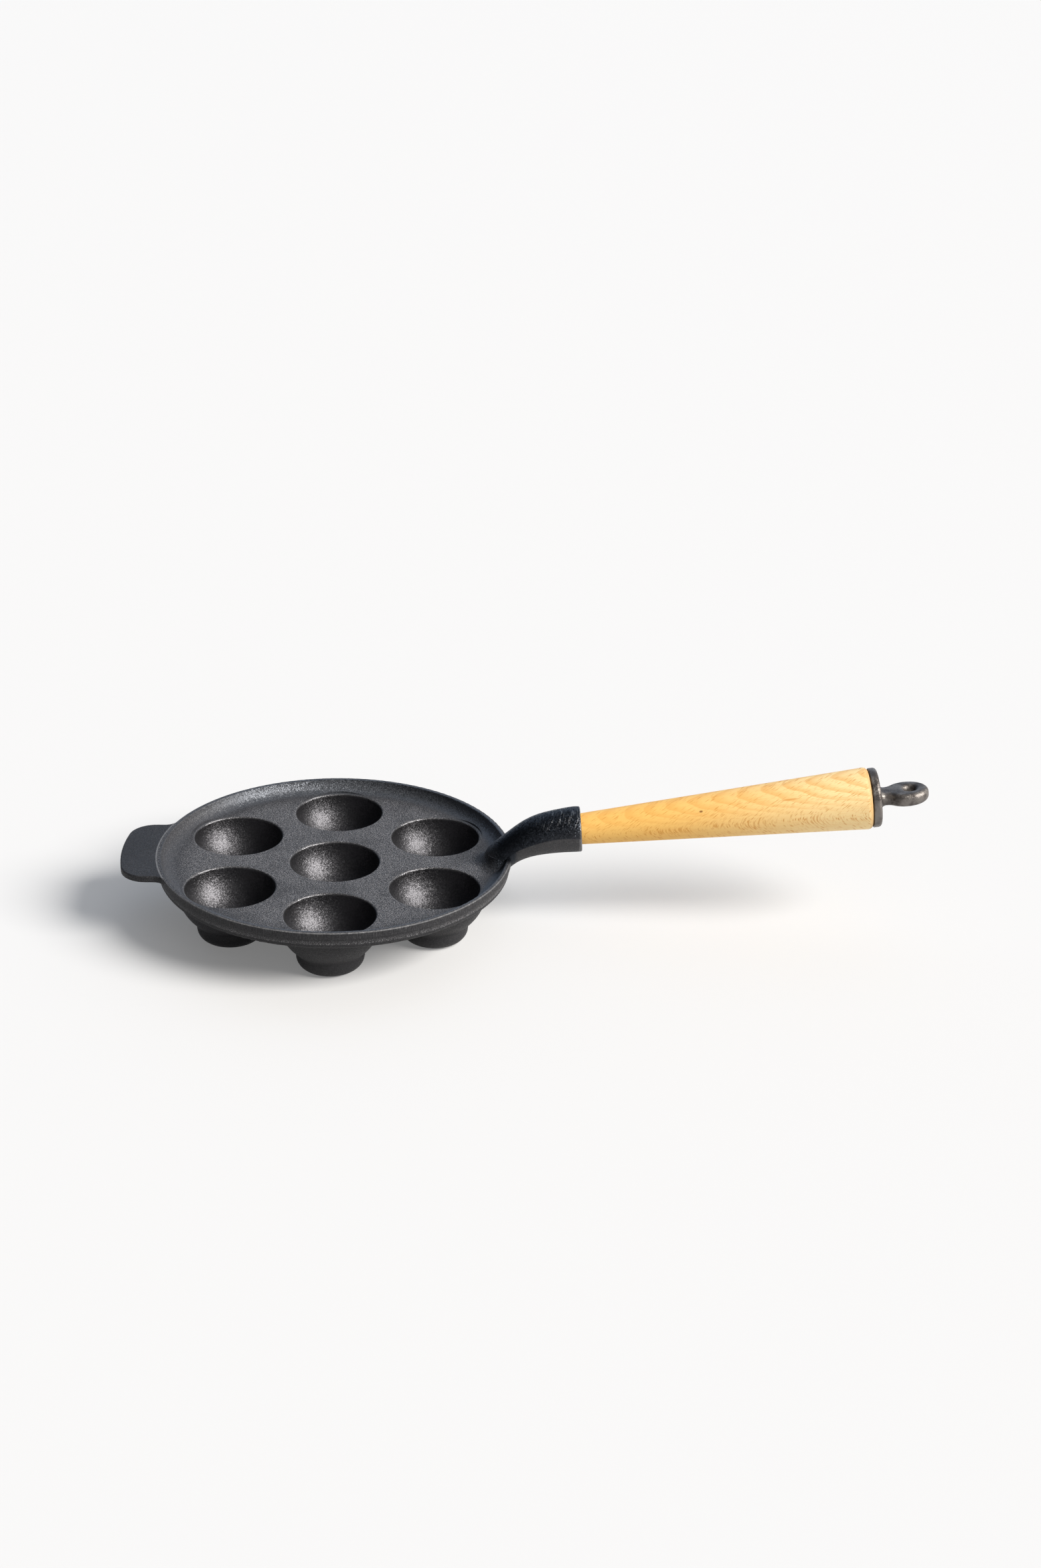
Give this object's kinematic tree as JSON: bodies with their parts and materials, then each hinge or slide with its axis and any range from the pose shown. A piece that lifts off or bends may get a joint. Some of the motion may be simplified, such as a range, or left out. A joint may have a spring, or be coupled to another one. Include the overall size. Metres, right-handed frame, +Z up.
{
  "type": "aebleskiver pan",
  "caption": "Cast-iron pan with round wells, a shallow tray, a helper tab and a wooden handle on a gooseneck, clamped by a tie rod with a hanging eye.",
  "frame": {"origin": "middle of the pan, on the surface that its well feet stand on", "axes": "+X towards the handle, +Z up"},
  "size_m": [0.5223, 0.23, 0.1027],
  "materials": {
    "seasoned_iron": "sand cast, seasoned black, fine orange peel",
    "beech": "turned and sanded, oiled",
    "cap_iron": "tumbled, lacquered",
    "rod_steel": "zinc plated"
  },
  "bodies": {
    "pan": {"pan_casting": "seasoned_iron", "beech_handle": "beech"},
    "rod": {"tie_rod": "rod_steel"},
    "cap": {"end_cap": "cap_iron"}
  },
  "joints": [
    {"name": "rod_travel", "type": "slide", "parent": "pan", "child": "rod", "axis": [0.9923, 0, 0.1236], "range_m": [0, 0.01375]},
    {"name": "cap_turn", "type": "hinge", "parent": "rod", "child": "cap", "pos_m": [0.34666, 0, 0.08307], "axis": [0.9923, 0, 0.1236], "range_deg": [0, 3960]}
  ],
  "couplings": [
    {"joint": "rod_travel", "follows": "cap_turn", "m_per_rad": 0.00019894}
  ]
}
